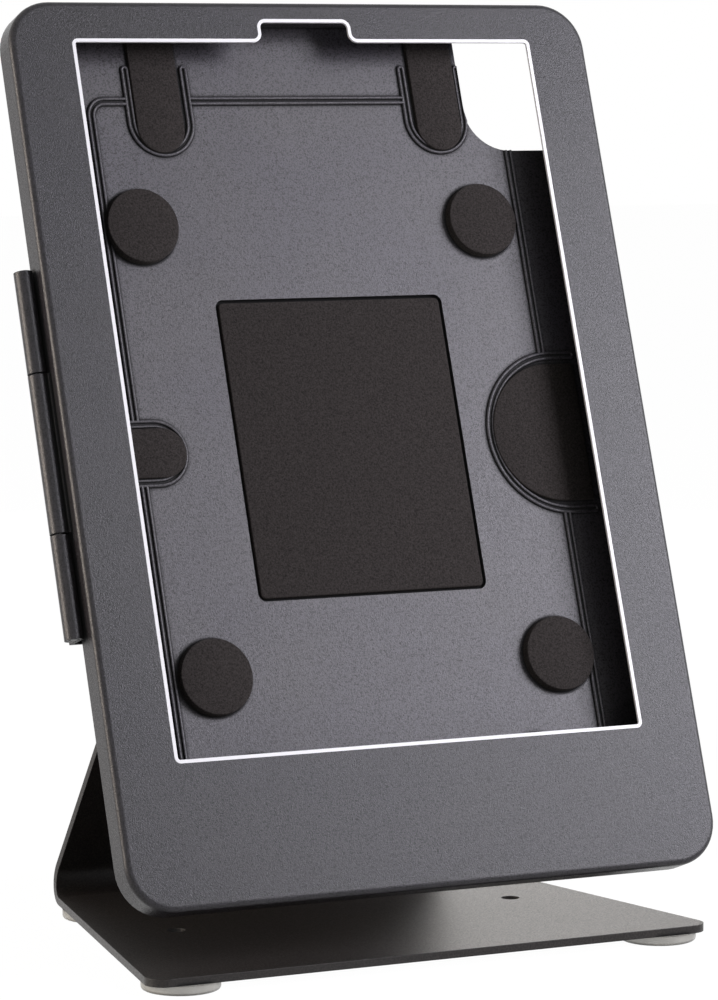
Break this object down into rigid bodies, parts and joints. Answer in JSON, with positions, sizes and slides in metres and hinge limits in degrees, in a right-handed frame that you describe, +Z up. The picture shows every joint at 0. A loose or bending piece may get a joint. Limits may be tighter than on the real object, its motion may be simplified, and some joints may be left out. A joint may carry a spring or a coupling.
{
  "type": "tablet kiosk stand",
  "caption": "Counter-top tablet kiosk stand: hinged window door on a shallow sheet case with foam pads, leaning on a folded tapering steel ribbon with clear feet.",
  "frame": {"origin": "midway between the two counter screw holes, on the underside of the base plate", "axes": "+X to the right seen from the front, +Y to the back, +Z up"},
  "size_m": [0.2109, 0.143, 0.2976],
  "materials": {
    "powder_coat": "fine textured powder coat",
    "zinc_steel": "satin",
    "chrome": "polished",
    "white_plastic": "satin",
    "black_foam": "matt foam",
    "clear_rubber": "translucent"
  },
  "bodies": {
    "stand": {"rear_case": "powder_coat", "hinge_bracket_upper": "powder_coat", "hinge_bracket_lower": "powder_coat", "stand_plate": "powder_coat", "lock_nut": "zinc_steel", "case_studs": "zinc_steel", "stud_nuts": "zinc_steel", "hinge_pin": "zinc_steel", "lock_barrel": "chrome", "foam_disc_upper_left": "black_foam", "foam_disc_upper_right": "black_foam", "foam_disc_lower_left": "black_foam", "foam_disc_lower_right": "black_foam", "foam_strip_upper_left": "black_foam", "foam_strip_upper_right": "black_foam", "foam_strip_lower_left": "black_foam", "foam_strip_lower_right": "black_foam", "side_pad_left": "black_foam", "side_pad_right": "black_foam", "centre_pad": "black_foam", "foot_front_left": "clear_rubber", "foot_front_right": "clear_rubber", "foot_rear_left": "clear_rubber", "foot_rear_right": "clear_rubber"},
    "door": {"front_bezel": "powder_coat", "window_trim": "white_plastic", "bezel_gasket": "black_foam", "latch_catch": "zinc_steel", "hinge_knuckle_door": "powder_coat"},
    "lock_turner": {"lock_plug": "chrome", "lock_cam": "zinc_steel", "cam_screw": "zinc_steel"}
  },
  "joints": [
    {"name": "door_hinge", "type": "hinge", "parent": "stand", "child": "door", "pos_m": [-0.1056, -0.00795, 0.15601], "axis": [0, -0.3376, -0.9413], "range_deg": [0, 180]},
    {"name": "lock_turn", "type": "hinge", "parent": "stand", "child": "lock_turner", "pos_m": [0.076, -0.04456, 0.03688], "axis": [0, -0.9413, 0.3376], "range_deg": [0, 90]}
  ]
}
